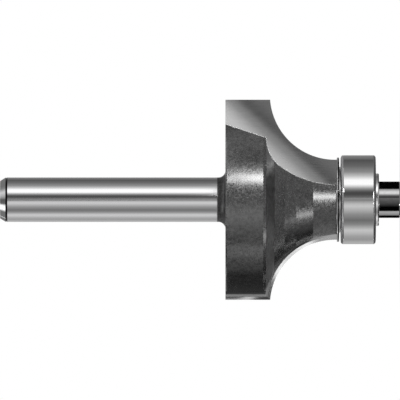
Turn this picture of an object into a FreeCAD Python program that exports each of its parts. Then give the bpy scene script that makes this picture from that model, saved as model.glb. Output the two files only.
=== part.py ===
"""Piloted cove router bit with a straight shank and a ball bearing guide.

Millimetres. The bit's axis is Z, with the shank end up. The origin is the centre of the
guide screw's head, on its end face. The first carbide tip reaches along +X and its cutting
face looks along -Y; the second is the same tip, half a turn on.
"""
import FreeCAD, Part
import math
import os

Vector = FreeCAD.Vector
AXIS = Vector(0, 0, 1)
ORIGIN = Vector(0, 0, 0)

# Whole bit
overall_length = 57.15
tip_count = 2

# Shank
shank_diameter = 6.35
shank_chamfer_length = 0.80
shank_chamfer_depth = 0.50
shank_mark_width = 0.20
shank_mark_depth = 0.07
neck_fillet_radius = 1.00

# Cutting profile, in the plane of a tip's face
cutting_diameter = 28.575
cutter_length = 15.875
cove_radius = 9.30
cove_centre_past_edge = 0.75
cove_centre_behind_nose = 0.23

# Carbide tips
rake_offset = 1.00
tip_thickness = 1.40
primary_land_depth = 0.85
primary_relief_angle = 27.0
secondary_relief_angle = 33.0
braze_gap = 0.05

# Steel body behind the tips
rim_clearance = 0.84
nose_clearance = 0.36
body_cove_radius = 10.25
body_facet_angles = (18.0, 33.0, 45.0, 58.0)
rim_edge_break = 0.30
back_edge_break = 0.20

# Gullets, as the line that the inner edge of a tip follows
gullet_nose_height = 2.05
gullet_shoulder_height = 8.74
gullet_shoulder_reach = 10.14
gullet_shoulder_radius = 5.10
gullet_back_height = 10.64
cut_margin = 1.00

# Arbor and its tapped hole
arbor_end_recess = 0.20
arbor_chamfer = 0.15
arbor_fit = 0.01
tapped_hole_depth_past_screw = 0.80
drill_point_angle = 118.0

# Ball bearing
bearing_outer_diameter = 12.70
bearing_bore = 4.7625
bearing_width = 4.978
bearing_outer_corner = 0.40
bearing_inner_corner = 0.15
outer_ring_wall = 1.15
inner_ring_wall = 1.07
ball_count = 7
ball_diameter = 2.381
groove_conformity = 0.52
race_clearance = 0.015

# Bearing shields and the snap rings that hold them
shield_seat_shoulder = 0.25
shield_seat_depth = 0.55
shield_sheet = 0.20
shield_step = 0.15
shield_step_width = 0.25
shield_rim_clearance = 0.04
shield_bore_clearance = 0.13
snap_groove_depth = 0.08
snap_groove_width = 0.22
snap_ring_width = 0.335
snap_ring_clearance = 0.02
snap_ring_opening = 24.0

# Ball cage, whose band runs along the balls' pitch circle between the lands of the two rings
cage_band_width = 0.83
cage_sheet = 0.18
cage_pocket_clearance = 0.05
cage_rivet_diameter = 0.36
cage_rivet_clearance = 0.01

# Dust shield between body and bearing
dust_shield_diameter = 12.04
dust_shield_sheet = 0.20
dust_shield_boss_diameter = 6.60
dust_shield_boss_height = 0.35
dust_shield_edge = 0.05

# Washer in front of the bearing
washer_diameter = 7.50
washer_thickness = 0.45
washer_hole_clearance = 0.06
washer_edge = 0.16

# Socket head cap screw
screw_head_diameter = 5.20
screw_head_height = 3.18
screw_head_edge = 0.28
screw_thread_diameter = 3.175
screw_length = 6.35
screw_end_chamfer = 0.35
screw_hole_clearance = 0.012
socket_across_flats = 2.38
socket_depth = 1.60
socket_countersink = 0.12

# Heights along the axis, stacked up from the end of the screw's head
washer_front = screw_head_height
bearing_front = washer_front + washer_thickness
bearing_back = bearing_front + bearing_width
bearing_middle = bearing_front + bearing_width / 2
dust_shield_back = bearing_back + dust_shield_boss_height + dust_shield_sheet
cutter_front = dust_shield_back
cutter_back = cutter_front + cutter_length
arbor_end = bearing_front + arbor_end_recess
screw_tip = screw_head_height + screw_length

# Radii and places worked out from the sizes above
shank_radius = shank_diameter / 2
ball_radius = ball_diameter / 2
pitch_radius = (bearing_outer_diameter + bearing_bore) / 4
groove_radius = groove_conformity * ball_diameter
cage_inner_radius = pitch_radius - cage_band_width / 2
cage_outer_radius = pitch_radius + cage_band_width / 2
inner_land_radius = bearing_bore / 2 + inner_ring_wall
outer_land_radius = bearing_outer_diameter / 2 - outer_ring_wall
shield_seat_radius = outer_land_radius + shield_seat_shoulder
snap_groove_radius = shield_seat_radius + snap_groove_depth
snap_ring_outer_radius = snap_groove_radius - snap_ring_clearance
snap_ring_inner_radius = snap_ring_outer_radius - snap_ring_width
arbor_radius = bearing_bore / 2 - arbor_fit
tapped_hole_radius = screw_thread_diameter / 2 + screw_hole_clearance
tip_back_plane = rake_offset + tip_thickness
edge_height = math.sqrt((cutting_diameter / 2) ** 2 - rake_offset ** 2)
cove_centre_height = edge_height + cove_centre_past_edge
cove_centre_z = cutter_front + cove_centre_behind_nose


def cove_height(radius, centre_height, z):
    """Height above the axis of a cove's arc at one place along the axis."""
    return centre_height - math.sqrt(radius ** 2 - (z - cove_centre_z) ** 2)


def cove_end_z(radius, centre_height, height):
    """Place along the axis where a cove's arc rises to a given height."""
    return cove_centre_z + math.sqrt(radius ** 2 - (centre_height - height) ** 2)


rim_radius = cutting_diameter / 2 - rim_clearance
nose_height = cove_height(cove_radius, cove_centre_height, cutter_front)
nose_radius = math.hypot(nose_height, rake_offset) - nose_clearance
body_cove_centre_radius = nose_radius + math.sqrt(body_cove_radius ** 2 - cove_centre_behind_nose ** 2)


def turned(points):
    """Solid of revolution of a closed outline of (radius, z) points."""
    corners = [Vector(radius, 0, z) for radius, z in points]
    outline = Part.makePolygon(corners + [corners[0]])
    return Part.Face(outline).revolve(ORIGIN, AXIS, 360)


def ring(inner_radius, outer_radius, low, high):
    """Plain ring about the axis."""
    return turned([(inner_radius, low), (outer_radius, low), (outer_radius, high), (inner_radius, high)])


def around_axis(shape, angle):
    """Copy of a shape turned about the axis."""
    return shape.rotated(ORIGIN, AXIS, angle)


def mirrored_in_bearing(shape):
    """Copy of a shape on the other side of the bearing's middle plane."""
    return shape.mirror(Vector(0, 0, bearing_middle), AXIS)


def ball_angles():
    """Angles of the balls about the axis."""
    return [360 * index / ball_count for index in range(ball_count)]


def on_pitch_circle(angle):
    """Point on the balls' pitch circle."""
    turn = math.radians(angle)
    return Vector(pitch_radius * math.cos(turn), pitch_radius * math.sin(turn), bearing_middle)


def steel_cove_points():
    """Corners of the turned cone facets that stand in for a smooth cove, from nose to rim."""
    points = [(nose_radius, cutter_front)]
    for angle in body_facet_angles:
        turn = math.radians(angle)
        radius = body_cove_centre_radius - body_cove_radius * math.cos(turn)
        points.append((radius, cove_centre_z + body_cove_radius * math.sin(turn)))
    rim_z = cove_end_z(body_cove_radius, body_cove_centre_radius, rim_radius)
    last_radius, last_z = points[-1]
    facet_length = math.hypot(rim_radius - last_radius, rim_z - last_z)
    share = rim_edge_break / facet_length
    points.append((rim_radius - share * (rim_radius - last_radius), rim_z - share * (rim_z - last_z)))
    points.append((rim_radius, rim_z + rim_edge_break))
    return points


def shank_points():
    """Outline of the shank above the neck fillet, up to the axis at its end."""
    chamfer_start = overall_length - shank_chamfer_length
    mark_middle = chamfer_start - shank_mark_width / 2
    return [
        (shank_radius, chamfer_start - shank_mark_width),
        (shank_radius - shank_mark_depth, mark_middle),
        (shank_radius, chamfer_start),
        (shank_radius - shank_chamfer_depth, overall_length),
        (0, overall_length),
    ]


def turned_blank():
    """Shank, neck, body and arbor, as they leave the lathe."""
    lower = [
        (0, arbor_end),
        (arbor_radius - arbor_chamfer, arbor_end),
        (arbor_radius, arbor_end + arbor_chamfer),
        (arbor_radius, cutter_front),
    ]
    rim = [(rim_radius, cutter_back - back_edge_break), (rim_radius - back_edge_break, cutter_back)]
    fillet_foot = (shank_radius + neck_fillet_radius, cutter_back)
    before_fillet = lower + steel_cove_points() + rim + [fillet_foot]
    fillet_head = (shank_radius, cutter_back + neck_fillet_radius)
    after_fillet = [fillet_head] + shank_points() + [(0, arbor_end)]
    fillet_centre_radius = shank_radius + neck_fillet_radius
    fillet_reach = neck_fillet_radius * math.sqrt(0.5)
    fillet_middle = Vector(fillet_centre_radius - fillet_reach, 0,
                           cutter_back + neck_fillet_radius - fillet_reach)
    first = Part.makePolygon([Vector(radius, 0, z) for radius, z in before_fillet])
    last = Part.makePolygon([Vector(radius, 0, z) for radius, z in after_fillet])
    fillet = Part.Arc(first.Vertexes[-1].Point, fillet_middle, last.Vertexes[0].Point).toShape()
    outline = Part.Wire(first.Edges + [fillet] + last.Edges)
    return Part.Face(outline).revolve(ORIGIN, AXIS, 360)


def tapped_hole():
    """Hole for the guide screw, with its drill point."""
    bottom = screw_tip + tapped_hole_depth_past_screw
    point = tapped_hole_radius / math.tan(math.radians(drill_point_angle / 2))
    return turned([
        (0, arbor_end),
        (tapped_hole_radius, arbor_end),
        (tapped_hole_radius, bottom),
        (0, bottom + point),
    ])


def gullet_arc(centre_height, centre_z, radius, start_turn, end_turn, y):
    """Arc of the gullet's line, by turns in degrees from straight inwards towards the back."""
    points = []
    for turn in (start_turn, (start_turn + end_turn) / 2, end_turn):
        height = centre_height - radius * math.cos(math.radians(turn))
        points.append(Vector(height, y, centre_z + radius * math.sin(math.radians(turn))))
    return points, Part.Arc(*points).toShape()


def gullet_edges(y, gap):
    """Line between steel and carbide at one depth, from the nose back to the shoulder and the rear face.

    A wide arc starts at the nose along the axis and a tangent narrow arc ends at the shoulder, square
    to the axis; a straight run goes on to the back. The gap draws the arcs in towards their centres.
    """
    narrow = gullet_shoulder_radius
    drop = gullet_shoulder_height - gullet_nose_height
    narrow_z = gullet_shoulder_reach - narrow
    wide = (narrow_z ** 2 + drop ** 2 - narrow ** 2) / (2 * (drop - narrow))
    wide_height = gullet_nose_height + wide
    meeting_turn = math.degrees(math.atan2(narrow_z, wide_height - gullet_shoulder_height))
    wide_points, wide_arc = gullet_arc(wide_height, cutter_front, wide - gap, 0, meeting_turn, y)
    narrow_points, narrow_arc = gullet_arc(gullet_shoulder_height, cutter_front + narrow_z, narrow - gap,
                                           meeting_turn, 90, y)
    back = Vector(gullet_back_height + gap, y, cutter_back)
    straight = Part.makeLine(narrow_points[-1], back)
    return wide_points[0], [wide_arc, narrow_arc, straight], back


def gullet():
    """Chip space in front of a tip, open to the front, the rim and the back, down to the tip's seat."""
    far = cutting_diameter
    nose, inner_edges, back = gullet_edges(-far, 0)
    slope = (gullet_back_height - gullet_shoulder_height) / (cutter_length - gullet_shoulder_reach)
    past_back = Vector(gullet_back_height + cut_margin * slope, -far, cutter_back + cut_margin)
    outer_back = Vector(far, -far, past_back.z)
    outer_front = Vector(far, -far, cutter_front)
    rest = Part.makePolygon([back, past_back, outer_back, outer_front, nose])
    outline = Part.Wire(Part.__sortEdges__(inner_edges + rest.Edges))
    return Part.Face(outline).extrude(Vector(0, far + tip_back_plane, 0))


def tip_outline(y, relief):
    """Outline of a tip at one depth behind its face, with its cutting edges drawn in by the relief."""
    radius = cove_radius + relief
    edge = edge_height - relief
    nose = cove_height(radius, cove_centre_height, cutter_front)
    corner_z = cove_end_z(radius, cove_centre_height, edge)
    corner_turn = math.asin((corner_z - cove_centre_z) / radius)
    nose_turn = -math.asin(cove_centre_behind_nose / radius)
    middle_turn = (corner_turn + nose_turn) / 2
    middle = Vector(cove_centre_height - radius * math.cos(middle_turn), y,
                    cove_centre_z + radius * math.sin(middle_turn))
    inner_nose, inner_edges, inner_back = gullet_edges(y, braze_gap)
    outer_back = Vector(edge, y, cutter_back)
    corner = Vector(edge, y, corner_z)
    outer_nose = Vector(nose, y, cutter_front)
    edges = [
        Part.makeLine(inner_back, outer_back),
        Part.makeLine(outer_back, corner),
        Part.Arc(corner, middle, outer_nose).toShape(),
        Part.makeLine(outer_nose, inner_nose),
    ]
    return Part.Wire(Part.__sortEdges__(edges + inner_edges))


def carbide_tip():
    """Tip with its face along +X, ground with a primary and a secondary relief."""
    primary_relief = primary_land_depth * math.tan(math.radians(primary_relief_angle))
    rest_depth = tip_thickness - primary_land_depth
    full_relief = primary_relief + rest_depth * math.tan(math.radians(secondary_relief_angle))
    face = tip_outline(rake_offset, 0)
    land_end = tip_outline(rake_offset + primary_land_depth, primary_relief)
    back = tip_outline(tip_back_plane, full_relief)
    primary = Part.makeLoft([face, land_end], True, True)
    secondary = Part.makeLoft([land_end, back], True, True)
    return primary.fuse(secondary)


def cutter_body():
    """Shank, body and arbor in one piece of steel, with the gullets and the tapped hole cut in it."""
    body = turned_blank().cut(tapped_hole())
    for index in range(tip_count):
        body = body.cut(around_axis(gullet(), 360 * index / tip_count))
    return body


def race_groove(centre_radius):
    """Torus that cuts a ball groove."""
    return Part.makeTorus(centre_radius, groove_radius, Vector(0, 0, bearing_middle), AXIS)


def bearing_inner_ring():
    """Inner ring with a deep groove in its outer face."""
    bore = bearing_bore / 2
    land = inner_land_radius
    corner = bearing_inner_corner
    blank = turned([
        (bore + corner, bearing_front),
        (land, bearing_front),
        (land, bearing_back),
        (bore + corner, bearing_back),
        (bore, bearing_back - corner),
        (bore, bearing_front + corner),
    ])
    return blank.cut(race_groove(pitch_radius - ball_radius - race_clearance + groove_radius))


def bearing_outer_ring():
    """Outer ring with rounded corners, a deep groove, and a seat for a shield at each end."""
    outside = bearing_outer_diameter / 2
    land = outer_land_radius
    blank = Part.makeCylinder(outside, bearing_width, Vector(0, 0, bearing_front), AXIS)
    rims = [edge for edge in blank.Edges if isinstance(edge.Curve, Part.Circle)]
    blank = blank.makeFillet(bearing_outer_corner, rims)
    blank = blank.cut(Part.makeCylinder(land, bearing_width, Vector(0, 0, bearing_front), AXIS))
    blank = blank.cut(race_groove(pitch_radius + ball_radius + race_clearance - groove_radius))
    seat = ring(land - cut_margin, shield_seat_radius, bearing_front, bearing_front + shield_seat_depth)
    snap_top = bearing_front + shield_seat_depth - shield_sheet
    snap = ring(land - cut_margin, snap_groove_radius, snap_top - snap_groove_width, snap_top)
    for cutter in (seat, snap, mirrored_in_bearing(seat), mirrored_in_bearing(snap)):
        blank = blank.cut(cutter)
    return blank


def bearing_shield():
    """Pressed shield at the front of the bearing: a flange in its seat and a disc stepped outwards."""
    outside = shield_seat_radius - shield_rim_clearance
    inside = inner_land_radius + shield_bore_clearance
    step_outside = snap_ring_inner_radius - shield_rim_clearance
    step_inside = step_outside - shield_step_width
    flange_back = bearing_front + shield_seat_depth
    flange_front = flange_back - shield_sheet
    return turned([
        (inside, flange_front - shield_step),
        (step_inside, flange_front - shield_step),
        (step_outside, flange_front),
        (outside, flange_front),
        (outside, flange_back),
        (step_outside - shield_sheet / 2, flange_back),
        (step_inside - shield_sheet / 2, flange_back - shield_step),
        (inside, flange_back - shield_step),
    ])


def shield_snap_ring():
    """Open ring that holds the front shield in its seat."""
    top = bearing_front + shield_seat_depth - shield_sheet
    low = top - snap_groove_width + snap_ring_clearance
    section = Part.makePolygon([
        Vector(snap_ring_inner_radius, 0, low),
        Vector(snap_ring_outer_radius, 0, low),
        Vector(snap_ring_outer_radius, 0, top),
        Vector(snap_ring_inner_radius, 0, top),
        Vector(snap_ring_inner_radius, 0, low),
    ])
    return Part.Face(section).revolve(ORIGIN, AXIS, 360 - snap_ring_opening)


def rivet_spots():
    """Points between the balls where the cage halves are riveted."""
    return [on_pitch_circle(angle + 180 / ball_count) for angle in ball_angles()]


def radial_rod(radius, angle):
    """Round rod that points out from the axis through one ball's place, across the cage's band."""
    start = cage_inner_radius - cut_margin
    length = cage_outer_radius + cut_margin - start
    rod = Part.makeCylinder(radius, length, Vector(start, 0, bearing_middle), Vector(1, 0, 0))
    return around_axis(rod, angle)


def ball_cage_half():
    """Rear half of the ribbon cage: flats between the balls and a pressed arch over each ball."""
    pocket_radius = ball_radius + cage_pocket_clearance
    arch_radius = pocket_radius + cage_sheet
    band = ring(cage_inner_radius, cage_outer_radius, bearing_middle, bearing_middle + arch_radius)
    ribbon = ring(cage_inner_radius, cage_outer_radius, bearing_middle, bearing_middle + cage_sheet)
    arches = [radial_rod(arch_radius, angle).common(band) for angle in ball_angles()]
    pockets = [radial_rod(pocket_radius, angle) for angle in ball_angles()]
    hole_radius = cage_rivet_diameter / 2 + cage_rivet_clearance
    holes = [Part.makeCylinder(hole_radius, cage_sheet, spot, AXIS) for spot in rivet_spots()]
    half = ribbon.fuse(arches)
    for cutter in pockets + holes:
        half = half.cut(cutter)
    return half


def cage_rivet(spot):
    """Rivet through both halves of the cage, peened flush."""
    foot = spot - Vector(0, 0, cage_sheet)
    return Part.makeCylinder(cage_rivet_diameter / 2, 2 * cage_sheet, foot, AXIS)


def dust_shield():
    """Thin disc with a boss that keeps it off the bearing's outer ring."""
    hole = arbor_radius + arbor_fit
    boss = dust_shield_boss_diameter / 2
    rim = dust_shield_diameter / 2
    sheet_front = dust_shield_back - dust_shield_sheet
    return turned([
        (hole, bearing_back),
        (boss, bearing_back),
        (boss, sheet_front),
        (rim - dust_shield_edge, sheet_front),
        (rim, sheet_front + dust_shield_edge),
        (rim, dust_shield_back),
        (hole, dust_shield_back),
    ])


def screw_washer():
    """Washer that clamps the inner ring, with a rounded front rim."""
    hole = screw_thread_diameter / 2 + washer_hole_clearance
    rim = washer_diameter / 2
    rounding = washer_edge * (1 - math.sqrt(0.5))
    return turned([
        (hole, washer_front),
        (rim - washer_edge, washer_front),
        (rim - rounding, washer_front + rounding),
        (rim, washer_front + washer_edge),
        (rim, bearing_front),
        (hole, bearing_front),
    ])


def hex_socket():
    """Socket for a hexagon key, with a drill point at its bottom and a small countersink."""
    corner = socket_across_flats / 2 / math.cos(math.radians(30))
    corners = [
        Vector(corner * math.cos(math.radians(60 * index)), corner * math.sin(math.radians(60 * index)), 0)
        for index in range(6)
    ]
    hexagon = Part.Face(Part.makePolygon(corners + [corners[0]]))
    prism = hexagon.extrude(Vector(0, 0, socket_depth))
    flat = socket_across_flats / 2
    point = Part.makeCone(flat, 0, flat / math.tan(math.radians(drill_point_angle / 2)),
                          Vector(0, 0, socket_depth), AXIS)
    mouth = Part.makeCone(corner + socket_countersink, corner, socket_countersink, ORIGIN, AXIS)
    return prism.fuse([point, mouth])


def bearing_screw():
    """Socket head cap screw; its thread is a plain cylinder at full diameter."""
    head = screw_head_diameter / 2
    thread = screw_thread_diameter / 2
    rounding = screw_head_edge * (1 - math.sqrt(0.5))
    blank = turned([
        (0, 0),
        (head - screw_head_edge, 0),
        (head - rounding, rounding),
        (head, screw_head_edge),
        (head, screw_head_height),
        (thread, screw_head_height),
        (thread, screw_tip - screw_end_chamfer),
        (thread - screw_end_chamfer, screw_tip),
        (0, screw_tip),
    ])
    return blank.cut(hex_socket())


def all_pieces():
    """Every piece of the bit, by name."""
    front_shield = bearing_shield()
    front_snap_ring = shield_snap_ring()
    rear_cage = ball_cage_half()
    tip = carbide_tip()
    pieces = {
        "cutter_body": cutter_body(),
        "dust_shield": dust_shield(),
        "bearing_inner_ring": bearing_inner_ring(),
        "bearing_outer_ring": bearing_outer_ring(),
        "bearing_shield_front": front_shield,
        "bearing_shield_rear": mirrored_in_bearing(front_shield),
        "shield_snap_ring_front": front_snap_ring,
        "shield_snap_ring_rear": mirrored_in_bearing(front_snap_ring),
        "ball_cage_front": mirrored_in_bearing(rear_cage),
        "ball_cage_rear": rear_cage,
        "cage_rivets": Part.makeCompound([cage_rivet(spot) for spot in rivet_spots()]),
        "screw_washer": screw_washer(),
        "bearing_screw": bearing_screw(),
    }
    for index in range(tip_count):
        pieces["carbide_tip_%d" % (index + 1)] = around_axis(tip, 360 * index / tip_count)
    for index, angle in enumerate(ball_angles()):
        pieces["ball_%d" % (index + 1)] = Part.makeSphere(ball_radius, on_pitch_circle(angle))
    return pieces


def main():
    os.makedirs("parts", exist_ok=True)
    for name, shape in all_pieces().items():
        summary = (name, len(shape.Solids), shape.isValid(), shape.Volume)
        print("%-24s solids %d  valid %s  volume %.3f" % summary)
        shape.exportStep("parts/%s.step" % name)


main()
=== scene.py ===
"""Looks of a piloted cove router bit: finishes, ground carbide, braze seams, light and camera.

Metres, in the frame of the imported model: the bit's axis is Z, shank up, and it stands on its
guide screw's head. The image is the side view with the shank to the left.
"""
import math

import bmesh
import bpy
import numpy as np
from mathutils import Matrix, Vector


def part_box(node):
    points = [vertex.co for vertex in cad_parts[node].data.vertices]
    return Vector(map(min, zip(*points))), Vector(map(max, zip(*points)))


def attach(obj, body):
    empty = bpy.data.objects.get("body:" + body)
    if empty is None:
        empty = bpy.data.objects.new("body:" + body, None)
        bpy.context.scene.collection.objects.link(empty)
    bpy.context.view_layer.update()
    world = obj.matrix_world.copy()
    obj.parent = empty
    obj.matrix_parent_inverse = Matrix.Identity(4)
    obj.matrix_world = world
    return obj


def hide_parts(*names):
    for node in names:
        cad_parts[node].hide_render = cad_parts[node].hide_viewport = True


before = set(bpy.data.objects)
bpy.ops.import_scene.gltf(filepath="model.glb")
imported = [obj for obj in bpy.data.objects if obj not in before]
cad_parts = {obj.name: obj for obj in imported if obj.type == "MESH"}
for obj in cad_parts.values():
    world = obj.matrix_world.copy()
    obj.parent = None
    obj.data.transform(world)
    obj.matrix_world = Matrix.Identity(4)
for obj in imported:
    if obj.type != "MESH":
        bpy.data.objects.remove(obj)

bl_info = {
    "name": "Cove Router Bit",
    "version": (1, 0, 0),
    "blender": (4, 5, 0),
    "location": "3D View > Sidebar > Router Bit",
    "description": "Finishes, ground carbide tips, braze seams and studio for a piloted cove router bit",
    "category": "Object",
}

MM = 0.001

# Reflectance of the black mark round the shank and of the painted shade on the dust shield's lip
BLACK = 0.004

# The photograph's frame: 400 pixels across, with the bit's axis along this row
IMAGE_PIXELS = 400
AXIS_ROW = 199.7
SCREW_END_COLUMN = 401.1
MM_PER_PIXEL = 0.1425

# Places along the axis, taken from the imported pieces
BODY_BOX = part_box("cutter_body")
TIP_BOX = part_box("carbide_tip_1")
SHANK_TOP = BODY_BOX[1][2]
CUTTER_FRONT = TIP_BOX[0][2]
CUTTER_BACK = TIP_BOX[1][2]

# Where parts of the light begin and end, as the Z of a direction
BESIDE_NECK = (0.05, 0.14)
PAST_SHANK = (0.70, 0.80)
PAST_SCREW = (-0.10, -0.25)
SHADE_PAST_SCREW = (-0.27, -0.40)
KEY_START = (-0.16, -0.24)
KEY_END = (-0.95, -0.85)


def clear_start_scene():
    """Removes the cube, light and camera that Blender's start-up file holds."""
    for name in ("Cube", "Light", "Camera"):
        if name in bpy.data.objects:
            bpy.data.objects.remove(bpy.data.objects[name])


# Shader nodes

def give(tree, socket, value):
    """Links an input to an output, or sets it to a plain value."""
    if isinstance(value, bpy.types.NodeSocket):
        tree.links.new(value, socket)
    else:
        socket.default_value = value


def new_node(tree, kind, **values):
    """Adds a node and sets its inputs and properties by name."""
    node = tree.nodes.new(kind)
    for name, value in values.items():
        if name in node.inputs:
            give(tree, node.inputs[name], value)
        else:
            setattr(node, name, value)
    return node


def math_node(tree, operation, *values):
    """A Math node on sockets or numbers; returns its output."""
    node = new_node(tree, "ShaderNodeMath", operation=operation)
    for socket, value in zip(node.inputs, values):
        give(tree, socket, value)
    return node.outputs[0]


def product(tree, first, *others):
    """Multiplies sockets or numbers."""
    for value in others:
        first = math_node(tree, "MULTIPLY", first, value)
    return first


def grade(tree, value, low, high, to_low=0.0, to_high=1.0, kind="LINEAR"):
    """An even grade from to_low to to_high as value goes from low to high."""
    node = new_node(tree, "ShaderNodeMapRange", interpolation_type=kind, Value=value)
    for name, number in (("From Min", low), ("From Max", high), ("To Min", to_low), ("To Max", to_high)):
        node.inputs[name].default_value = number
    return node.outputs["Result"]


def smooth_step(tree, value, low, high, to_low=0.0, to_high=1.0):
    """A soft step from to_low to to_high as value goes from low to high."""
    return grade(tree, value, low, high, to_low, to_high, "SMOOTHSTEP")


def about(tree, pattern, level, share, top=1.0):
    """A level varied by a share of itself both ways, as a pattern goes from 0 to its top."""
    return grade(tree, pattern, 0.0, top, level * (1 - share), level * (1 + share))


def mix_values(tree, factor, first, second):
    """Mixes two values, given as sockets or numbers."""
    return new_node(tree, "ShaderNodeMix", Factor=factor, A=first, B=second).outputs["Result"]


def mix_colour(tree, factor, first, second):
    """Mixes two colours, given as sockets or as colours, and returns the socket."""
    node = new_node(tree, "ShaderNodeMix", data_type="RGBA", Factor=factor)
    colours = [socket for socket in node.inputs if socket.type == "RGBA"]
    for socket, value in zip(colours, (first, second)):
        give(tree, socket, value)
    return [socket for socket in node.outputs if socket.type == "RGBA"][0]


def object_axes(tree):
    """Object coordinates and their three parts."""
    coordinates = tree.nodes.new("ShaderNodeTexCoord").outputs["Object"]
    return coordinates, new_node(tree, "ShaderNodeSeparateXYZ", Vector=coordinates).outputs


def axis_distance(tree, axes):
    """Distance from the Z axis: the root of X squared and Y squared added."""
    squares = [math_node(tree, "POWER", axes[name], 2.0) for name in "XY"]
    return math_node(tree, "SQRT", math_node(tree, "ADD", *squares))


def new_group(name, inputs, outputs):
    """An empty shader node group with float or vector sockets; returns it with its two end nodes."""
    group = bpy.data.node_groups.new(name, "ShaderNodeTree")
    for socket, kind in inputs:
        group.interface.new_socket(name=socket, in_out="INPUT", socket_type=kind)
    for socket, kind in outputs:
        group.interface.new_socket(name=socket, in_out="OUTPUT", socket_type=kind)
    return group, group.nodes.new("NodeGroupInput"), group.nodes.new("NodeGroupOutput")


def speckle_group():
    """Blasted grain: two sizes of noise mixed to one value about a half, stronger with Amount."""
    group, start, end = new_group(
        "Blasted Grain",
        [("Vector", "NodeSocketVector"), ("Scale", "NodeSocketFloat"), ("Amount", "NodeSocketFloat")],
        [("Value", "NodeSocketFloat"), ("Height", "NodeSocketFloat")])
    vector, scale = start.outputs["Vector"], start.outputs["Scale"]
    fine = new_node(group, "ShaderNodeTexNoise", Vector=vector, Scale=scale, Detail=3.0, Roughness=0.7)
    coarse = new_node(group, "ShaderNodeTexNoise", Vector=vector, Scale=product(group, scale, 0.33),
                      Detail=2.0, Roughness=0.5)
    coarse_part = product(group, coarse.outputs["Fac"], 0.3)
    both = math_node(group, "MULTIPLY_ADD", fine.outputs["Fac"], 0.7, coarse_part)
    centred = math_node(group, "SUBTRACT", both, 0.5)
    give(group, end.inputs["Value"], math_node(group, "MULTIPLY_ADD", centred, start.outputs["Amount"], 0.5))
    give(group, end.inputs["Height"], both)
    return group


def turning_group():
    """Fine rings about the Z axis, as a lathe or a grinding wheel leaves: noise of radius and height only."""
    group, start, end = new_group(
        "Turning Rings",
        [("Vector", "NodeSocketVector"), ("Scale", "NodeSocketFloat")],
        [("Height", "NodeSocketFloat")])
    axes = new_node(group, "ShaderNodeSeparateXYZ", Vector=start.outputs["Vector"]).outputs
    rings = new_node(group, "ShaderNodeCombineXYZ", X=axis_distance(group, axes), Y=axes["Z"])
    noise = new_node(group, "ShaderNodeTexNoise", Vector=rings.outputs[0], Scale=start.outputs["Scale"],
                     Detail=4.0, Roughness=0.6)
    give(group, end.inputs["Height"], noise.outputs["Fac"])
    return group


def shared_groups():
    """The node groups that several finishes use, built once."""
    made = bpy.data.node_groups
    return {
        "grain": made.get("Blasted Grain") or speckle_group(),
        "rings": made.get("Turning Rings") or turning_group(),
    }


def place_group(tree, group, vector, **values):
    """Places a node group in a material with its own values."""
    return new_node(tree, "ShaderNodeGroup", node_tree=group, Vector=vector, **values)


def new_material(name):
    """An empty material with a Principled shader."""
    material = bpy.data.materials.new(name)
    material.use_nodes = True
    tree = material.node_tree
    return material, tree, tree.nodes["Principled BSDF"]


def metal(tree, shader, colour, roughness, height, depth):
    """Makes the shader metal with a colour, a roughness and a bump of a height and a real depth."""
    normal = new_node(tree, "ShaderNodeBump", Distance=depth, Height=height).outputs["Normal"]
    values = {"Base Color": colour, "Metallic": 1.0, "Roughness": roughness, "Normal": normal}
    for name, value in values.items():
        give(tree, shader.inputs[name], value)


def grey(value):
    """A neutral colour."""
    return (value, value, value * 1.01, 1.0)


def cutter_steel(groups, finishes):
    """Ground bright shank and dark blasted body in one piece of steel.

    The dark finish starts at the front's ground edge and ends just behind the neck, and the mark
    round the shank's chamfer is black. The facet next to the rim gets painted light, a lighter
    colour, and the neck is darker.
    """
    material, tree, shader = new_material("cutter_steel")
    coordinates, axes = object_axes(tree)
    along = axes["Z"]
    neck_end = CUTTER_BACK + finishes.dark_finish_past_body
    front_edge = CUTTER_FRONT + 0.09 * MM
    dark = product(
        tree, smooth_step(tree, along, neck_end - 0.1 * MM, neck_end + 0.05 * MM, 1.0, 0.0),
        smooth_step(tree, along, front_edge, front_edge + 0.04 * MM))
    mark_high = SHANK_TOP - 0.8 * MM
    mark_low = mark_high - 0.28 * MM
    mark = product(
        tree, smooth_step(tree, along, mark_low, mark_low + 0.04 * MM),
        smooth_step(tree, along, mark_high, mark_high + 0.03 * MM, 1.0, 0.0))
    # Painted light: the facet next to the rim gets a lighter colour in place of the light it would catch
    facet_middle, facet_half = CUTTER_BACK - 6.36 * MM, 0.52 * MM
    facet = soft_box(tree, along, facet_middle, facet_half, 0.1 * MM)
    neck = smooth_step(tree, along, CUTTER_BACK, CUTTER_BACK + 0.05 * MM)
    grain = place_group(tree, groups["grain"], coordinates, Scale=5200.0, Amount=3.1).outputs
    rings = place_group(tree, groups["rings"], coordinates, Scale=9000.0)
    body_tone = product(
        tree, math_node(tree, "MULTIPLY_ADD", facet, finishes.facet_painted_light, 1.0),
        grade(tree, neck, 0.0, 1.0, 1.0, 0.72), about(tree, grain["Value"], finishes.body_grey, 0.55))
    shank_tone = mix_colour(tree, mark, grey(finishes.shank_grey), grey(BLACK))
    rough = math_node(tree, "MULTIPLY_ADD", grain["Value"], 0.14, finishes.body_roughness - 0.07)
    rough = math_node(tree, "MULTIPLY_ADD", facet, 0.10, rough)
    rough = math_node(tree, "MULTIPLY_ADD", neck, 0.15, rough)
    blasted = product(tree, grain["Height"], dark)
    height = math_node(tree, "MULTIPLY_ADD", rings.outputs["Height"], 0.04, blasted)
    metal(tree, shader, mix_colour(tree, dark, shank_tone, body_tone),
          mix_values(tree, dark, finishes.shank_roughness, rough), height, 0.0012 * MM)
    return material


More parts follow.
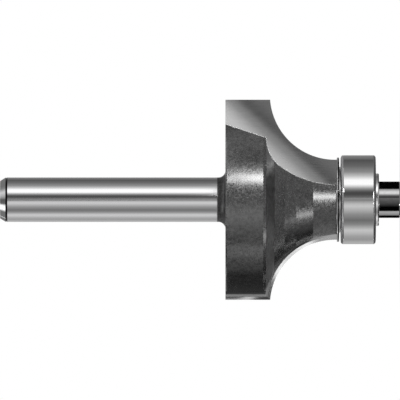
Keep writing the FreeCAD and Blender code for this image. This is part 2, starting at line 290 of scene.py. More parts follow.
def plain_metal(name, groups, value, roughness, ring_scale=9000.0, ring_depth=0.0002):
    """Turned or ground metal with fine rings about the axis."""
    material, tree, shader = new_material(name)
    coordinates, _ = object_axes(tree)
    rings = place_group(tree, groups["rings"], coordinates, Scale=ring_scale).outputs["Height"]
    metal(tree, shader, about(tree, rings, value, 0.07), about(tree, rings, roughness, 0.2),
          rings, ring_depth * MM)
    return material


def carbide_metal(groups, finishes):
    """Fine-ground tungsten carbide: neutral grey, with grinding lines, and painted shade on the seat side."""
    material, tree, shader = new_material("ground_carbide")
    coordinates, axes = object_axes(tree)
    stretch = new_node(tree, "ShaderNodeMapping", Vector=coordinates,
                       Rotation=(0.0, math.radians(45.0), 0.0), Scale=(9000.0, 9000.0, 500.0))
    lines = new_node(tree, "ShaderNodeTexNoise", Vector=stretch.outputs[0], Scale=1.0, Detail=2.0,
                     Roughness=0.5).outputs["Fac"]
    grain = place_group(tree, groups["grain"], coordinates, Scale=16000.0, Amount=0.5)
    tone = about(tree, product(tree, lines, grain.outputs["Value"]), finishes.carbide_grey, 0.08, top=0.5)
    # Painted shade: the carbide turns dark grey at its seat, the back face that lies in shade
    depth = product(tree, math_node(tree, "SIGN", axes["X"]), axes["Y"])
    seat = smooth_step(tree, depth, TIP_BOX[1][1] - 0.03 * MM, TIP_BOX[1][1] - 0.015 * MM)
    metal(tree, shader, mix_colour(tree, seat, tone, grey(0.10)),
          about(tree, lines, finishes.carbide_roughness, 0.15), lines, 0.0003 * MM)
    return material


def black_screw_finish(groups, finishes):
    """Glossy black oxide over steel."""
    material, tree, shader = new_material("black_oxide")
    coordinates, _ = object_axes(tree)
    grain = place_group(tree, groups["grain"], coordinates, Scale=6000.0, Amount=1.0).outputs
    metal(tree, shader, about(tree, grain["Value"], finishes.screw_grey, 0.3),
          grade(tree, grain["Value"], 0.0, 1.0, 0.05, 0.08), grain["Height"], 0.0003 * MM)
    return material


def dress(material, *nodes):
    """Gives CAD nodes a material."""
    for name in nodes:
        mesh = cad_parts[name].data
        for index in range(len(mesh.materials)):
            mesh.materials[index] = material


# Carbide tips and braze

def gullet_line(turn, tips, gap=0.0):
    """Heights and places along the axis of the inner line's two tangent arcs.

    A wide arc leaves the nose along the axis, a narrow one meets the shoulder square to it. The turn
    runs from 0 at the nose to a right angle at the shoulder, and the gap draws both arcs inwards.
    """
    narrow = tips.shoulder_radius
    drop = tips.shoulder_height - tips.nose_height
    narrow_z = tips.shoulder_reach - narrow
    wide = (narrow_z ** 2 + drop ** 2 - narrow ** 2) / (2 * (drop - narrow))
    wide_height = tips.nose_height + wide
    meeting = math.atan2(narrow_z, wide_height - tips.shoulder_height)
    on_narrow = turn > meeting
    radius = np.where(on_narrow, narrow, wide) - gap
    height = np.where(on_narrow, tips.shoulder_height, wide_height) - radius * np.cos(turn)
    along = np.where(on_narrow, narrow_z, 0.0) + radius * np.sin(turn)
    return height, CUTTER_FRONT + along


def inner_line(share, tips, gap=0.0):
    """Inner line of a tip as (height, place), from the back at 0 over the shoulder to the nose at 1.

    Up to the shoulder share it is the straight run, from there on the two arcs.
    """
    curved = np.clip((share - tips.shoulder_share) / (1 - tips.shoulder_share), 0, 1)
    height, along = gullet_line(np.radians(90 * (1 - curved)), tips, gap)
    run = np.clip(share / tips.shoulder_share, 0, 1)
    straight = share < tips.shoulder_share
    back_height = tips.back_height + gap
    height = np.where(straight, back_height + run * (tips.shoulder_height - back_height), height)
    shoulder_z = CUTTER_FRONT + tips.shoulder_reach - gap
    along = np.where(straight, CUTTER_BACK + run * (shoulder_z - CUTTER_BACK), along)
    return height, along


def outer_line(share, relief, tips):
    """Cutting line of a tip as (height, place), drawn in by a relief: the rim's run and the cove's arc."""
    edge = TIP_BOX[1][0] - relief
    radius = tips.cove_radius + relief
    centre_height = TIP_BOX[1][0] + tips.cove_centre_past_edge
    centre_z = CUTTER_FRONT + tips.cove_centre_behind_nose
    corner = math.acos((centre_height - edge) / radius)
    nose = -math.asin(tips.cove_centre_behind_nose / radius)
    curved = np.clip((share - tips.shoulder_share) / (1 - tips.shoulder_share), 0, 1)
    turn = corner + curved * (nose - corner)
    height = centre_height - radius * np.cos(turn)
    along = centre_z + radius * np.sin(turn)
    run = np.clip(share / tips.shoulder_share, 0, 1)
    straight = share < tips.shoulder_share
    corner_z = centre_z + radius * math.sin(corner)
    height = np.where(straight, edge, height)
    along = np.where(straight, CUTTER_BACK + run * (corner_z - CUTTER_BACK), along)
    return height, along


def hollow(height, along, tips):
    """How far the hollow ground face lies behind its plane, at points of the face.

    The hollow's deepest line leans from the axis across the face. From it the face rises on both
    sides like a rounded valley: a softplus of the distance from that line, with one slope towards
    the cove and one inwards.
    """
    lean = tips.hollow_lean
    distance = (along - tips.hollow_place) * math.cos(lean) - height * math.sin(lean)
    outer, inner = math.tan(tips.outer_rise), math.tan(tips.inner_rise)
    soft = tips.hollow_rounding
    steepness = distance / soft
    softplus = np.maximum(steepness, 0) + np.log1p(np.exp(-np.abs(steepness)))
    rise = (inner + outer) * soft * softplus - outer * distance
    return tips.hollow_depth - rise


def ground_tip(name, node, half_turn, tips, material):
    """A carbide tip as a closed loop of lines carried from its back to its nose.

    Across the face the points are straight blends of the inner and the cutting line, set back by the
    hollow. The loop then goes down the primary and the secondary land, whose lines are the cutting
    line drawn in, and comes back under the seat.
    """
    shoulder = tips.shoulder_share
    rim_rows, cove_rows, face_lines = 30, 90, 36
    shares = np.concatenate([
        np.linspace(0, shoulder, rim_rows)[:-1],
        np.linspace(shoulder, 1, cove_rows),
    ])
    face_y, seat_y = TIP_BOX[0][1], TIP_BOX[1][1]
    inner_height, inner_z = inner_line(shares, tips, tips.braze_gap)
    land = tips.primary_land * math.tan(tips.primary_relief)
    full = land + (seat_y - face_y - tips.primary_land) * math.tan(tips.secondary_relief)
    outer_height, outer_z = outer_line(shares, 0.0, tips)
    loop = []
    for blend in np.linspace(0, 1, face_lines):
        height = inner_height + blend * (outer_height - inner_height)
        along = inner_z + blend * (outer_z - inner_z)
        loop.append((height, face_y + hollow(height, along, tips), along))
    for depth, relief in ((tips.primary_land, land), (seat_y - face_y, full)):
        height, along = outer_line(shares, relief, tips)
        loop.append((height, np.full_like(height, face_y + depth), along))
    loop.append((inner_height, np.full_like(inner_height, seat_y), inner_z))
    thing = carried_loop(name, loop, half_turn)
    finish_piece(thing, material, 4.0)
    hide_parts(node)
    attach(thing, "cutter")


def carried_loop(name, loop, half_turn):
    """A closed mesh from the lines of a loop, each three rows of numbers, turned by half a turn for -1."""
    points = np.array([np.stack(line, axis=-1) for line in loop]).transpose(1, 0, 2)
    points[:, :, :2] *= half_turn
    rows, columns = points.shape[:2]
    return grid_mesh(name, points.reshape(-1, 3), rows, columns, closed_columns=True, caps=("start", "end"))


def braze_seam(name, half_turn, tips, material):
    """A fillet of braze where the tip's face meets the steel, drawn out along the inner line.

    Its section is a hollow quarter round between the two, whose size wavers as summed sines of the
    place along the seam, as molten braze does.
    """
    shares = np.linspace(0.004, 0.992, 320)
    waver = 1 + 0.16 * np.sin(61 * shares + 0.7) + 0.11 * np.sin(149 * shares + 2.1)
    waver += 0.07 * np.sin(331 * shares)
    size = tips.braze_size * waver
    height, along = inner_line(shares, tips)
    slope_height, slope_along = np.gradient(height), np.gradient(along)
    length = np.hypot(slope_height, slope_along)
    out_height, out_along = -slope_along / length, slope_height / length
    face_y = TIP_BOX[0][1] + hollow(height, along, tips)
    section = [(-0.3, 0.4), (-0.3, -1.0), (0.0, -1.0)]
    for turn in np.radians(np.linspace(0, 90, 9)):
        section.append((1 - math.cos(turn), -1 + math.sin(turn)))
    section.append((1.0, 0.4))
    loop = [(height + across * size * out_height, face_y + deep * size, along + across * size * out_along)
            for across, deep in section]
    thing = carried_loop(name, loop, half_turn)
    finish_piece(thing, material, 40.0)
    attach(thing, "cutter")


def turned_points(radii, places, steps):
    """Points of a profile of radii and places along the axis, carried round in equal steps."""
    turns = np.linspace(0, 2 * math.pi, steps + 1)[:-1]
    radius, turn = np.meshgrid(radii, turns, indexing="ij")
    along = np.repeat(places, steps).reshape(radius.shape)
    return np.stack([radius * np.cos(turn), radius * np.sin(turn), along], axis=-1).reshape(-1, 3)


def dust_shield(material):
    """The thin disc in front of the body, with painted shade on its lip and with its boss, turned
    about the axis.

    The profile is a closed line of (radius, place) points. Only the boss's inner part reaches the
    bearing's inner ring.
    """
    (_, _, front), (rim, _, back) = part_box("dust_shield")
    bore, contact, boss = 1.95 * MM, 3.30 * MM, 4.70 * MM
    sheet, step, edge = back - 0.31 * MM, 0.06 * MM, 0.04 * MM
    profile = np.array([
        (bore, front),
        (contact, front),
        (contact, front + step),
        (boss - 0.05 * MM, front + step),
        (boss, front + 0.11 * MM),
        (boss, sheet),
        (rim - edge, sheet),
        (rim, sheet + edge),
        (rim, back - step),
        (rim - step, back),
        (bore, back),
        (bore, front),
    ])
    steps = 160
    points = turned_points(profile[:, 0], profile[:, 1], steps)
    thing = grid_mesh("turned_dust_shield", points, len(profile), steps, closed_columns=True)
    finish_piece(thing, material, 30.0)
    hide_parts("dust_shield")
    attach(thing, "cutter")


def bearing_metal(groups):
    """Polished bearing steel, matt on the tumbled corners at its two ends, with painted shade on the
    front one and a painted highlight on the back one.
    """
    material = plain_metal("polished_bearing_steel", groups, 0.50, 0.06)
    tree = material.node_tree
    shader = tree.nodes["Principled BSDF"]
    _, axes = object_axes(tree)
    front, back = (end[2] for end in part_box("bearing_outer_ring"))
    corner = 0.35 * MM
    front_corner_painted_shade = smooth_step(tree, axes["Z"], front + corner, front + corner * 0.8)
    back_corner_painted_highlight = smooth_step(tree, axes["Z"], back - corner, back - corner * 0.8)
    near_end = math_node(tree, "MAXIMUM", front_corner_painted_shade, back_corner_painted_highlight)
    polished = shader.inputs["Roughness"].links[0].from_socket
    give(tree, shader.inputs["Roughness"], mix_values(tree, near_end, polished, 0.42))
    even = shader.inputs["Base Color"].links[0].from_socket
    # Painted shade in the front corner's colour, and a painted highlight in the back corner's
    corners = mix_colour(tree, back_corner_painted_highlight, mix_colour(tree, front_corner_painted_shade, even, grey(0.16)), grey(0.85))
    give(tree, shader.inputs["Base Color"], corners)
    return material


def lip_metal(groups):
    """Bright turned sheet with painted shade, in black, on the half of its rim that faces the bearing."""
    material = plain_metal("lipped_sheet", groups, 0.75, 0.16)
    tree = material.node_tree
    shader = tree.nodes["Principled BSDF"]
    _, axes = object_axes(tree)
    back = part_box("dust_shield")[1][2]
    # Painted shade: a black band on the rim where the gap to the bearing lies in shadow
    lip = product(
        tree, smooth_step(tree, axes["Z"], back - 0.36 * MM, back - 0.35 * MM),
        smooth_step(tree, axes["Z"], back - 0.115 * MM, back - 0.095 * MM, 1.0, 0.0))
    bright = shader.inputs["Base Color"].links[0].from_socket
    give(tree, shader.inputs["Base Color"], mix_colour(tree, lip, bright, grey(BLACK)))
    return material


def finish_piece(thing, material, sharp_degrees):
    """Turns the faces outwards, smooths them but for sharp edges, and gives the material."""
    mesh = thing.data
    work = bmesh.new()
    work.from_mesh(mesh)
    bmesh.ops.remove_doubles(work, verts=work.verts, dist=1e-7)
    bmesh.ops.recalc_face_normals(work, faces=work.faces)
    work.to_mesh(mesh)
    work.free()
    mesh.polygons.foreach_set("use_smooth", np.ones(len(mesh.polygons), dtype=bool))
    mesh.set_sharp_from_angle(angle=math.radians(sharp_degrees))
    mesh.materials.append(material)


# Light and camera

def ramp(tree, value, shades):
    """A ramp from (place, level) stops, with places from 0 to 1."""
    node = tree.nodes.new("ShaderNodeValToRGB")
    tree.links.new(value, node.inputs[0])
    stops = node.color_ramp.elements
    while len(stops) < len(shades):
        stops.new(0.5)
    for stop, (place, level) in zip(stops, shades):
        stop.position = place
        stop.color = (level, level, level, 1.0)
    return node.outputs["Color"]


def band_ramp(tree, turn, bands):
    """A ramp over a turn of 0 to 1 from (degrees, level) stops, where 0 degrees is half way."""
    return ramp(tree, turn, [(degrees / 360 + 0.5, level) for degrees, level in bands])


def soft_box(tree, value, middle, half, soft):
    """One inside middle plus or minus half, falling to nought over soft on both sides."""
    return product(
        tree, smooth_step(tree, value, middle - half - soft, middle - half),
        smooth_step(tree, value, middle + half, middle + half + soft, 1.0, 0.0))


def seen_straight(tree):
    """One where the camera looks straight at a thing or through glass; also the Light Path's outputs."""
    paths = tree.nodes.new("ShaderNodeLightPath").outputs
    return math_node(tree, "MAXIMUM", paths["Is Camera Ray"], paths["Is Transmission Ray"]), paths


def tent_light(tree, lights, axes, turn):
    """The tent of soft strips, evened beside the shank and the screw, and shaded below and behind."""
    along = axes["Z"]
    middle = product(tree, band_ramp(tree, turn, tent_bands()), lights.tent_level)
    shank_end = product(tree, band_ramp(tree, turn, shank_end_bands()), lights.tent_level)
    tent = mix_values(tree, smooth_step(tree, along, *BESIDE_NECK), middle, lights.neck_level)
    tent = mix_values(tree, smooth_step(tree, along, *PAST_SHANK), tent, shank_end)
    tent = mix_values(tree, smooth_step(tree, along, *PAST_SCREW), tent, lights.screw_end_level)
    downwards = math_node(tree, "MULTIPLY_ADD", axes["Y"], 1.2, product(tree, axes["X"], -1.0))
    shaded = product(
        tree, smooth_step(tree, downwards, 0.3, 1.35), smooth_step(tree, along, *SHADE_PAST_SCREW))
    return mix_values(tree, shaded, tent, 0.05)


def key_light(tree, lights, along, degrees):
    """The key strip: it curves with the square of the height along the axis, and fades along it."""
    drop = product(tree, math_node(tree, "POWER", along, 2.0), math.degrees(lights.key_curve))
    middle = math_node(tree, "SUBTRACT", math.degrees(lights.key_angle), drop)
    from_key = math_node(tree, "ABSOLUTE", math_node(tree, "SUBTRACT", degrees, middle))
    half_width = math.degrees(lights.key_half_width)
    return product(
        tree, smooth_step(tree, from_key, half_width, half_width + 5.0, 1.0, 0.0),
        smooth_step(tree, along, *KEY_START), smooth_step(tree, along, *KEY_END),
        math_node(tree, "MULTIPLY_ADD", along, 0.9, 1.0), lights.key_level)


def ring_light(tree, lights, axes):
    """A thin ring of light behind and below, which the tips' primary lands throw to the front."""
    aside = smooth_step(tree, math_node(tree, "ABSOLUTE", axes["Z"]), 0.03, 0.06)
    return product(
        tree, soft_box(tree, axes["Y"], lights.ring_place, 0.010, 0.006),
        smooth_step(tree, axes["X"], 0.1, -0.1), aside, lights.ring_level)


def front_card(tree, lights, axes, forwards):
    """A soft strip in front, slanted as the hollow of the tips; returns its extent and its light.

    It shades off along its length, and leaves out the plane square to the axis.
    """
    sideways = math_node(tree, "SUBTRACT", axes["X"], axes["Z"])
    across = math_node(tree, "MULTIPLY_ADD", sideways, 0.5 / lights.card_reach, 0.5)
    aslant = math_node(tree, "ABSOLUTE", math_node(tree, "ADD", axes["X"], axes["Z"]))
    extent = product(
        tree, smooth_step(tree, aslant, 0.075, 0.045), smooth_step(tree, forwards, 0.965, 0.98),
        smooth_step(tree, math_node(tree, "ABSOLUTE", axes["Z"]), 0.006, 0.014))
    return extent, product(tree, ramp(tree, across, card_shades()), lights.card_level)


def studio_world(lights):
    """White to the camera, and a tent of soft strips along the bit's axis for everything else.

    The strips depend on the angle about the Z axis, from 0 towards the front, -Y, up to 180 behind,
    positive towards +X, which is up in the image. The key strip starts in front above the axis and
    curves down towards the guide screw's end, so each facet of the cove catches it in its own place.
    Places along the axes are those of a direction, from -1 to 1.
    """
    world = bpy.data.worlds.new("studio_tent")
    bpy.context.scene.world = world
    world.use_nodes = True
    tree = world.node_tree
    tree.nodes.clear()
    coordinates = tree.nodes.new("ShaderNodeTexCoord").outputs["Generated"]
    axes = new_node(tree, "ShaderNodeSeparateXYZ", Vector=coordinates).outputs
    forwards = product(tree, axes["Y"], -1.0)
    angle = math_node(tree, "ARCTAN2", axes["X"], forwards)
    turn = math_node(tree, "ADD", math_node(tree, "DIVIDE", angle, 2 * math.pi), 0.5)
    light = tent_light(tree, lights, axes, turn)
    key = key_light(tree, lights, axes["Z"], product(tree, angle, 180 / math.pi))
    light = math_node(tree, "ADD", math_node(tree, "ADD", light, key), ring_light(tree, lights, axes))
    extent, card = front_card(tree, lights, axes, forwards)
    light = mix_values(tree, extent, light, card)
    seen, paths = seen_straight(tree)
    glossy = product(tree, paths["Is Glossy Ray"], smooth_step(tree, axes["Y"], 0.975, 0.995))
    white = math_node(tree, "MAXIMUM", seen, glossy)
    background = new_node(tree, "ShaderNodeBackground", Color=(1.0, 1.0, 1.0, 1.0),
                          Strength=mix_values(tree, white, light, 1.0))
    give(tree, tree.nodes.new("ShaderNodeOutputWorld").inputs[0], background.outputs[0])


def tent_bands():
    """The tent's cards and gaps round the axis as (angle in degrees, share of the tent's level)."""
    return (
        (-180.0, 0.20),
        (-146.0, 0.36),
        (-126.0, 0.28),
        (-110.0, 0.34),
        (-94.0, 0.49),
        (-86.0, 0.54),
        (-67.0, 0.225),
        (-55.0, 0.145),
        (-38.0, 0.26),
        (-17.0, 0.55),
        (-11.0, 0.48),
        (-6.0, 0.34),
        (0.0, 0.215),
        (9.0, 0.10),
        (14.0, 0.06),
        (19.0, 0.06),
        (24.5, 0.14),
        (30.0, 0.33),
        (35.5, 0.66),
        (41.0, 1.0),
        (52.0, 0.97),
        (64.0, 0.52),
        (77.0, 0.25),
        (98.0, 0.13),
        (124.0, 0.075),
        (136.0, 0.14),
        (150.0, 0.16),
        (180.0, 0.20),
    )


def card_shades():
    """The front strip's shades along it as (place, share of its level): a dark place, and light past it."""
    return (
        (0.15, 0.22),
        (0.20, 0.205),
        (0.23, 0.167),
        (0.27, 0.120),
        (0.33, 0.095),
        (0.382, 0.140),
        (0.4435, 0.235),
        (0.50, 0.325),
        (0.5625, 0.42),
        (0.613, 0.53),
        (0.6645, 0.667),
        (0.714, 0.83),
        (0.744, 0.94),
        (0.78, 1.0),
    )


def shank_end_bands():
    """The same past the shank's end, for its chamfer and the neck's fillet."""
    return (
        (-180.0, 0.20),
        (-130.0, 0.08),
        (-95.0, 0.12),
        (-76.0, 1.10),
        (-56.0, 1.10),
        (-36.0, 0.10),
        (0.0, 0.08),
        (30.0, 0.35),
        (60.0, 0.55),
        (90.0, 0.18),
        (125.0, 0.60),
        (180.0, 0.30),
    )


def add_object(name, data):
    """A new object of some data in the scene."""
    thing = bpy.data.objects.new(name, data)
    bpy.context.scene.collection.objects.link(thing)
    return thing


def strip_lamp(name, start, turn, distance, size, power, spread=math.pi):
    """An area lamp along the axis, unseen by the camera, shining at a point from a turn about the axis."""
    out = Vector((math.sin(turn), -math.cos(turn), 0.0))
    data = bpy.data.lights.new(name, "AREA")
    data.shape = "RECTANGLE"
    data.size, data.size_y = size
    data.energy = power
    data.spread = spread
    lamp = add_object(name, data)
    upright = Vector((0, 0, 1))
    turned = Matrix((upright.cross(out), upright, out)).transposed().to_4x4()
    lamp.matrix_world = Matrix.Translation(start + out * distance) @ turned
    lamp.visible_camera = False


def strip_lamps(lights, tips):
    """One strip above in front for the rim's bright band, and two small ones for the lower tip's lands.

    The lower tip's two lands each mirror a narrow beam of their own, which misses the steel.
    """
    rim = BODY_BOX[1][1]
    half = lights.strip_angle / 2
    middle = CUTTER_BACK - 2.0 * MM - lights.strip_length / 2
    start = Vector((rim * math.sin(half), -rim * math.cos(half), middle))
    strip_lamp("body_strip", start, lights.strip_angle, lights.strip_distance,
               (lights.strip_width, lights.strip_length), lights.strip_power)
    edge, face_y = TIP_BOX[1][0], -TIP_BOX[0][1]
    beam_z, beam_distance = CUTTER_BACK - 4.5 * MM, 9.5 * MM
    beam_length, beam_spread = 12.0 * MM, math.radians(8)
    land = tips.primary_land
    drop = land * math.tan(tips.primary_relief)
    rest = TIP_BOX[1][1] - TIP_BOX[0][1] - land
    further_drop = drop + 0.5 * rest * math.tan(tips.secondary_relief)
    for name, relief, drawn_in, depth, width, power in (
        ("primary_land_strip", tips.primary_relief, 0.5 * drop, 0.5 * land, 0.6 * MM, lights.land_power),
        ("secondary_land_strip", tips.secondary_relief, further_drop, land + 0.5 * rest, 0.5 * MM,
         lights.land_power * 0.3),
    ):
        start = Vector((-edge + drawn_in, face_y - depth, beam_z))
        strip_lamp(name, start, -math.pi + 2 * relief, beam_distance, (width, beam_length), power,
                   beam_spread)


def flag(name, values, radius, turns, heights, glows=False):
    """A matt card bent about the axis, unseen by the camera, that shades or lights what it stands by.

    Its grey, or its glow where it is a lit card, goes evenly from the first value to the second as
    the turn about the axis does.
    """
    material, tree, shader = new_material(name)
    coordinates, axes = object_axes(tree)
    turned = math_node(tree, "ARCTAN2", axes["X"], product(tree, axes["Y"], -1.0))
    weave = new_node(tree, "ShaderNodeTexNoise", Vector=coordinates, Scale=900.0, Detail=1.0)
    tone = product(
        tree, smooth_step(tree, weave.outputs["Fac"], 0.0, 1.0, 0.8, 1.2),
        grade(tree, turned, *np.radians(turns), *values))
    give(tree, shader.inputs["Emission Color" if glows else "Base Color"], tone)
    if glows:
        shader.inputs["Base Color"].default_value = grey(0.02)
        shader.inputs["Emission Strength"].default_value = 1.0
    shader.inputs["Roughness"].default_value = 0.95
    shader.inputs["Specular IOR Level"].default_value = 0.0
    columns = 25
    turn, height = np.meshgrid(np.radians(np.linspace(*turns, columns)), np.array(heights), indexing="ij")
    points = np.stack([radius * np.sin(turn), -radius * np.cos(turn), height], axis=-1).reshape(-1, 3)
    card = grid_mesh(name, points, columns, 2)
    card.data.materials.append(material)
    card.visible_camera = False


def flags():
    """Cards under and above the body, which glow, and cards about the screw's head.

    Each row gives the card's name, its greys and its turns about the axis in degrees.
    """
    below_radius, above_radius, screw_radius = 24 * MM, 60 * MM, 5 * MM
    low, high = CUTTER_FRONT + 2.5 * MM, CUTTER_BACK + 0.8 * MM
    for name, values, turns in (
        ("lit_card_below", (0.70, 0.66), (-42.0, -55.5)),
        ("dim_card_below", (0.34, 0.26), (-55.5, -73.5)),
        ("dark_card_below", (0.09, 0.07), (-73.5, -165.0)),
    ):
        flag(name, values, below_radius, turns, (low, high), glows=True)
    for name, values, turns in (
        ("dim_card_above", (0.28, 0.48), (36.0, 57.0)),
        ("lit_card_above", (0.62, 0.62), (57.0, 88.0)),
    ):
        flag(name, values, above_radius, turns, (CUTTER_FRONT, high), glows=True)
    head = (0.1 * MM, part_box("screw_washer")[0][2] - 0.05 * MM)
    flag("screw_card_front", (0.36, 0.0), screw_radius, (8.0, -35.0), head, glows=True)
    for name, values, turns in (
        ("screw_flag_above", (0.02, 0.02), (54.0, 134.0)),
        ("screw_flag_under", (0.01, 0.01), (-35.0, -58.0)),
        ("screw_flag_behind", (0.02, 0.02), (-92.0, -148.0)),
    ):
        flag(name, values, screw_radius, turns, head)


def stage_floor():
    """A pale floor: white to the camera but for the bit's own shadow near its foot."""
    material, tree, shader = new_material("pale_floor")
    coordinates, axes = object_axes(tree)
    far = smooth_step(tree, axis_distance(tree, axes), 6 * MM, 21 * MM)
    noise = new_node(tree, "ShaderNodeTexNoise", Vector=coordinates, Scale=60.0, Detail=2.0)
    give(tree, shader.inputs["Base Color"], grade(tree, noise.outputs["Fac"], 0.0, 1.0, 0.84, 0.88))
    shader.inputs["Roughness"].default_value = 0.9
    seen, _ = seen_straight(tree)
    white = new_node(tree, "ShaderNodeEmission", Strength=1.0)
    mixed = tree.nodes.new("ShaderNodeMixShader")
    for socket, value in zip(mixed.inputs, (product(tree, seen, far), shader.outputs[0], white.outputs[0])):
        tree.links.new(value, socket)
    tree.links.new(mixed.outputs[0], tree.nodes["Material Output"].inputs[0])
    rings, spokes = 24, 96
    points = turned_points(np.geomspace(0.01, 1.2, rings), np.zeros(rings), spokes)
    floor = grid_mesh("floor", points, rings, spokes, closed_columns=True, caps=("start",))
    floor.data.materials.append(material)
    floor.visible_glossy = False


def grid_mesh(name, points, rows, columns, closed_columns=False, caps=()):
    """A mesh of a grid of points, row by row, whose columns may close into loops and ends be capped."""
    row = np.arange(rows - 1)[:, None]
    column = np.arange(columns if closed_columns else columns - 1)[None, :]
    following = (column + 1) % columns
    quads = np.stack([
        row * columns + column,
        row * columns + following,
        (row + 1) * columns + following,
        (row + 1) * columns + column,
    ], axis=-1).reshape(-1, 4).tolist()
    if "start" in caps:
        quads.append(list(range(columns))[::-1])
    if "end" in caps:
        quads.append([(rows - 1) * columns + index for index in range(columns)])
    mesh = bpy.data.meshes.new(name)
    mesh.from_pydata(points.tolist(), [], quads)
    mesh.validate()
    mesh.update()
    return add_object(name, mesh)


def photo_camera(view):
    """A long lens square on to the bit's side, turned so that the shank points left."""
    data = bpy.data.cameras.new("photo_camera")
    camera = add_object("photo_camera", data)
    data.sensor_width = view.sensor_width
    data.lens = view.sensor_width * view.distance / (IMAGE_PIXELS * MM_PER_PIXEL * MM)
    data.clip_end = view.distance * 4
    middle = IMAGE_PIXELS / 2
    height = (SCREW_END_COLUMN - middle) * MM_PER_PIXEL * MM
    sideways = (AXIS_ROW - middle) * MM_PER_PIXEL * MM
    right, up, back = Vector((0, 0, -1)), Vector((1, 0, 0)), Vector((0, -1, 0))
    turned = Matrix((right, up, back)).transposed().to_4x4()
    camera.matrix_world = Matrix.Translation((sideways, -view.distance, height)) @ turned
    bpy.context.scene.camera = camera


# Settings

def plain_value(name, description, default, **more):
    """A setting with no unit unless more says so."""
    return bpy.props.FloatProperty(name=name, description=description, default=default, **more)


def angle_value(name, description, degrees):
    """An angle setting with its default in degrees."""
    return plain_value(name, description, math.radians(degrees), subtype="ANGLE")


def length_value(name, description, millimetres):
    """A length setting with its default in millimetres."""
    return plain_value(name, description, millimetres * MM, unit="LENGTH", precision=5)


class RouterBitFinishes(bpy.types.PropertyGroup):
    """Greys, roughness and extents of the finishes."""
    shank_grey: plain_value("Shank grey", "Reflectance of the ground shank", 0.55)
    shank_roughness: plain_value("Shank roughness", "Roughness of the ground shank", 0.10)
    body_grey: plain_value("Body grey", "Reflectance of the blasted body", 0.15)
    # Painted light: how much lighter the colour of the facet next to the rim is painted
    facet_painted_light: plain_value("Facet wear", "How much lighter the facet next to the rim is worn", 0.7)
    body_roughness: plain_value("Body roughness", "Roughness of the blasted body", 0.25)
    carbide_grey: plain_value("Carbide grey", "Reflectance of the carbide", 0.50)
    carbide_roughness: plain_value("Carbide roughness", "Roughness of the carbide", 0.10)
    screw_grey: plain_value("Screw grey", "Reflectance of the black oxide", 0.34)
    dark_finish_past_body: length_value(
        "Dark finish past body", "How far the dark finish runs up the neck", 1.2)


class RouterBitTips(bpy.types.PropertyGroup):
    """Sizes of the carbide tips and their braze."""
    cove_radius: length_value("Cove radius", "Radius of the cove that the tips cut", 9.30)
    cove_centre_past_edge: length_value(
        "Cove centre past edge", "Cove's centre outside the cutting diameter", 0.75)
    cove_centre_behind_nose: length_value(
        "Cove centre behind nose", "Cove's centre back from the front", 0.23)
    nose_height: length_value("Nose height", "Inner line's height above the axis at the nose", 2.05)
    shoulder_height: length_value("Shoulder height", "Inner line's height at the shoulder", 8.74)
    shoulder_reach: length_value("Shoulder reach", "Shoulder's distance from the front", 10.14)
    shoulder_radius: length_value("Shoulder radius", "Radius of the inner line's narrow arc", 5.10)
    back_height: length_value("Back height", "Inner line's height at the back", 10.64)
    braze_gap: length_value("Braze gap", "Gap between tip and steel at the inner line", 0.05)
    braze_size: length_value("Braze size", "Size of the braze fillet", 0.15)
    primary_land: length_value("Primary land", "Depth of the primary land behind the face", 0.85)
    primary_relief: angle_value("Primary relief", "Relief of the primary land", 27)
    secondary_relief: angle_value("Secondary relief", "Relief behind the land", 33)
    shoulder_share: plain_value("Shoulder share", "Share of the rows that lies behind the shoulder", 0.3)
    hollow_place: length_value("Hollow place", "Where the line of the hollow face crosses the axis", 8.58)
    hollow_lean: angle_value("Hollow lean", "Angle of the hollow's line from the axis", 47.2)
    hollow_rounding: length_value("Hollow rounding", "Rounding of the hollow's deepest line", 1.00)
    hollow_depth: length_value("Hollow depth", "Depth of the hollow's line behind the face's plane", 0.14)
    outer_rise: angle_value("Outer rise", "Rise of the face towards the cutting edges", 4.2)
    inner_rise: angle_value("Inner rise", "Rise of the face towards the steel", 3.3)


class RouterBitLights(bpy.types.PropertyGroup):
    """Levels of the studio tent."""
    tent_level: plain_value("Tent level", "Radiance of the tent's brightest card", 2.0)
    screw_end_level: plain_value("Screw end level", "Radiance past the screw's end", 0.45)
    neck_level: plain_value("Neck level", "Radiance beside the shank, which the neck reflects", 0.28)
    land_power: plain_value("Land power", "Power of the primary land's strip", 5e-8, unit="POWER", precision=6)
    key_level: plain_value("Key level", "Radiance of the narrow key strip", 16.0)
    key_angle: angle_value("Key angle", "Key strip's angle about the axis", 20.5)
    key_curve: angle_value("Key curve", "By how much the key strip falls at the screw's end", 128.0)
    key_half_width: angle_value("Key half width", "Half the key strip's width", 3.0)
    ring_place: plain_value("Ring place", "How far behind the thin ring of light stands, as a share", 0.588)
    ring_level: plain_value("Ring level", "Radiance of the thin ring", 2.4)
    card_level: plain_value("Card level", "Radiance of the front card's bright side", 1.2)
    card_reach: plain_value("Card reach", "How far the front card reaches to both sides, as a share", 0.30)
    strip_angle: angle_value("Strip angle", "Body strip's angle about the axis", 26.2)
    strip_distance: length_value("Strip distance", "Body strip's distance from the rim", 55.0)
    strip_length: length_value("Strip length", "Body strip's length along the axis", 10.0)
    strip_width: length_value("Strip width", "Body strip's width", 10.0)
    strip_power: plain_value("Strip power", "Body strip's power", 0.0049, unit="POWER", precision=6)


class RouterBitView(bpy.types.PropertyGroup):
    """The camera's distance and sensor."""
    distance: length_value("Distance", "Camera's distance from the axis", 2400.0)
    sensor_width: plain_value("Sensor width", "Camera's sensor width in millimetres", 12.0)


# Operators

class ROUTERBIT_OT_cutter_body(bpy.types.Operator):
    """Gives the cutter body its ground shank and dark blasted finish"""
    bl_idname = "routerbit.cutter_body"
    bl_label = "Cutter Body"

    def execute(self, context):
        dress(cutter_steel(shared_groups(), context.scene.routerbit_finishes), "cutter_body")
        return {"FINISHED"}


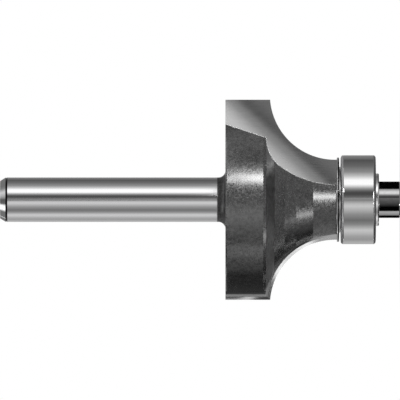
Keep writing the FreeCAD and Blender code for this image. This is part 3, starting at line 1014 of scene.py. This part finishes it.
class ROUTERBIT_OT_carbide_tips(bpy.types.Operator):
    """Makes the two hollow ground carbide tips and the braze along them"""
    bl_idname = "routerbit.carbide_tips"
    bl_label = "Carbide Tips"

    def execute(self, context):
        groups = shared_groups()
        tips = context.scene.routerbit_tips
        carbide = carbide_metal(groups, context.scene.routerbit_finishes)
        braze = plain_metal("silver_braze", groups, 0.45, 0.42, ring_scale=2500.0, ring_depth=0.002)
        for index, half_turn in enumerate((1, -1)):
            node = "carbide_tip_%d" % (index + 1)
            dress(carbide, node)
            ground_tip("ground_" + node, node, half_turn, tips, carbide)
            braze_seam("braze_seam_%d" % (index + 1), half_turn, tips, braze)
        return {"FINISHED"}


class ROUTERBIT_OT_guide_bearing(bpy.types.Operator):
    """Gives the guide bearing's rings, shields, cage and balls their finishes"""
    bl_idname = "routerbit.guide_bearing"
    bl_label = "Guide Bearing"

    def execute(self, context):
        groups = shared_groups()
        dress(bearing_metal(groups), "bearing_outer_ring", "bearing_inner_ring")
        sheet = plain_metal("pressed_sheet_steel", groups, 0.50, 0.28)
        dress(sheet, "bearing_shield_front", "bearing_shield_rear", "shield_snap_ring_front",
              "shield_snap_ring_rear", "ball_cage_front", "ball_cage_rear", "cage_rivets")
        balls = [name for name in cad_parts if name.startswith("ball_") and "cage" not in name]
        dress(plain_metal("ball_steel", groups, 0.7, 0.05), *balls)
        return {"FINISHED"}


class ROUTERBIT_OT_fastening(bpy.types.Operator):
    """Makes the dust shield with painted shade on its lip, and finishes the washer and the black screw"""
    bl_idname = "routerbit.fastening"
    bl_label = "Dust Shield, Washer and Screw"

    def execute(self, context):
        groups = shared_groups()
        lipped = lip_metal(groups)
        dress(lipped, "dust_shield")
        dust_shield(lipped)
        dress(plain_metal("bright_turned_steel", groups, 0.75, 0.16), "screw_washer")
        dress(black_screw_finish(groups, context.scene.routerbit_finishes), "bearing_screw")
        return {"FINISHED"}


class ROUTERBIT_OT_stage(bpy.types.Operator):
    """Sets up the floor, the light and the camera"""
    bl_idname = "routerbit.stage"
    bl_label = "Stage"

    def execute(self, context):
        stage_floor()
        studio_world(context.scene.routerbit_lights)
        strip_lamps(context.scene.routerbit_lights, context.scene.routerbit_tips)
        flags()
        photo_camera(context.scene.routerbit_view)
        context.scene.view_settings.view_transform = "Standard"
        return {"FINISHED"}


class ROUTERBIT_PT_panel(bpy.types.Panel):
    """Lists the steps that dress the router bit"""
    bl_idname = "ROUTERBIT_PT_panel"
    bl_label = "Router Bit"
    bl_space_type = "VIEW_3D"
    bl_region_type = "UI"
    bl_category = "Router Bit"

    def draw(self, context):
        for step in STEPS:
            self.layout.operator(step)
        for settings, _ in GROUPS:
            group = getattr(context.scene, "routerbit_" + settings)
            for name in group.__annotations__:
                self.layout.prop(group, name)


STEPS = (
    "routerbit.stage", "routerbit.cutter_body", "routerbit.carbide_tips",
    "routerbit.guide_bearing", "routerbit.fastening",
)
GROUPS = (
    ("finishes", RouterBitFinishes), ("tips", RouterBitTips),
    ("lights", RouterBitLights), ("view", RouterBitView),
)
CLASSES = (
    ROUTERBIT_OT_stage, ROUTERBIT_OT_cutter_body, ROUTERBIT_OT_carbide_tips,
    ROUTERBIT_OT_guide_bearing, ROUTERBIT_OT_fastening, ROUTERBIT_PT_panel,
)


def register():
    for name, group in GROUPS:
        bpy.utils.register_class(group)
        setattr(bpy.types.Scene, "routerbit_" + name, bpy.props.PointerProperty(type=group))
    for each in CLASSES:
        bpy.utils.register_class(each)


def unregister():
    for each in reversed(CLASSES):
        bpy.utils.unregister_class(each)
    for name, group in reversed(GROUPS):
        delattr(bpy.types.Scene, "routerbit_" + name)
        bpy.utils.unregister_class(group)


def main():
    """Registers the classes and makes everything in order."""
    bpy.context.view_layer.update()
    register()
    for step in STEPS:
        space, name = step.split(".")
        getattr(getattr(bpy.ops, space), name)()


if __name__ == "__main__":
    clear_start_scene()
    main()
